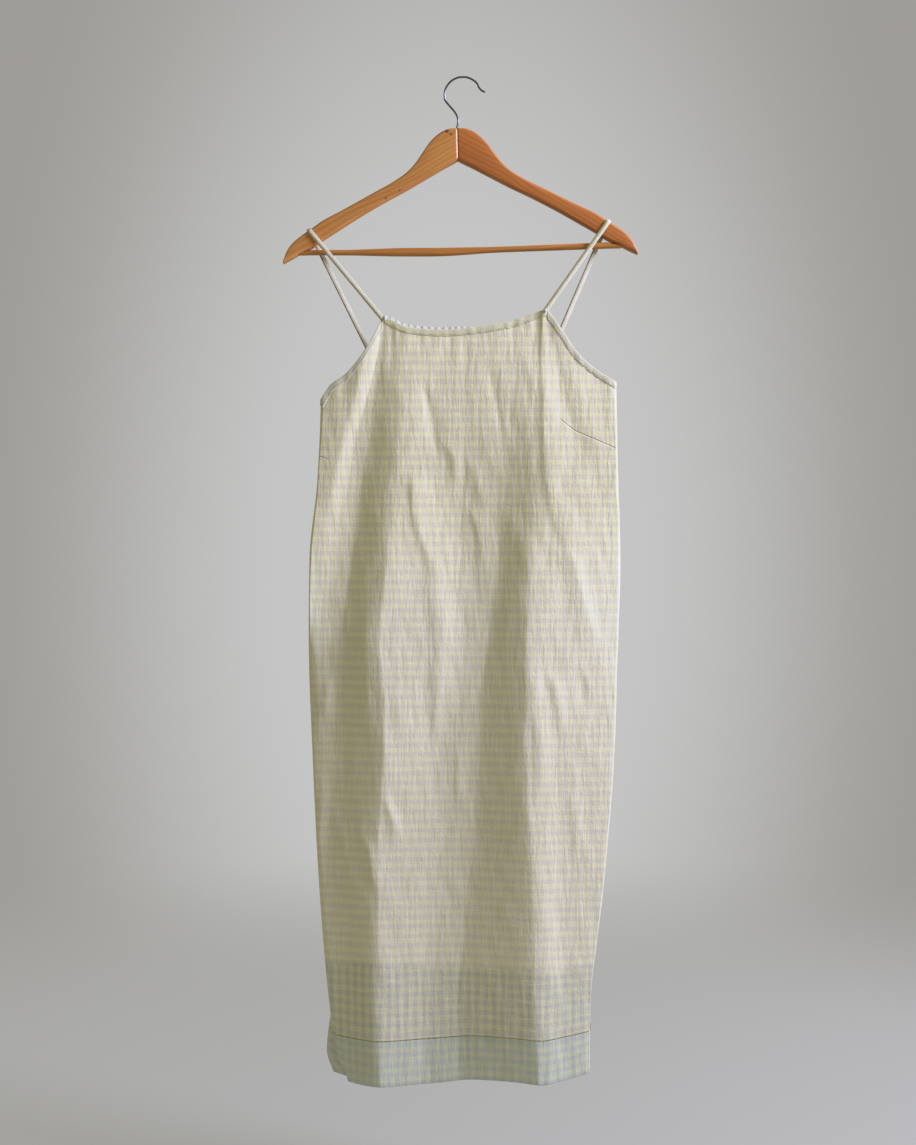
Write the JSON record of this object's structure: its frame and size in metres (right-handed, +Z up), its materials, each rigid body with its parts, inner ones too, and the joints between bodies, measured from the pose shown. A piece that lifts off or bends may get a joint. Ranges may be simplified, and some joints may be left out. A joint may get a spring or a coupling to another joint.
{
  "type": "slip dress on a wooden hanger",
  "caption": "Sleeveless midi slip dress in fine checked cloth, with thin straps and a deep turned-up hem, on a wooden hanger with a bar and a wire hook.",
  "frame": {"origin": "the inside top of the hook's bend, the point that rests on a nail or a rail", "axes": "+Z up along the dress, +X to the right seen from the front, +Y away from the front; the front faces -Y"},
  "size_m": [0.4449, 0.064, 1.2574],
  "materials": {
    "cloth": "plain-woven check of yellow and grey-lilac bands on cream, slightly crinkled, matt",
    "binding": "the same check cut on the bias and folded, top-stitched, matt",
    "strap": "narrow stitched tube of the same check, matt",
    "light_wood": "light orange pine with knots under a satin varnish",
    "red_wood": "redder straight-grained wood under a satin varnish",
    "bar_wood": "plain wooden lath, satin",
    "hook_wire": "dark drawn steel wire"
  },
  "bodies": {
    "root": {"front_panel": "cloth", "back_panel": "cloth", "neck_binding_front": "binding", "neck_binding_back": "binding", "armhole_binding_left": "binding", "armhole_binding_right": "binding", "strap_left": "strap", "strap_right": "strap", "hanger_arm_left": "light_wood", "hanger_arm_right": "red_wood", "hanger_bar": "bar_wood", "hanger_hook": "hook_wire"}
  },
  "joints": []
}
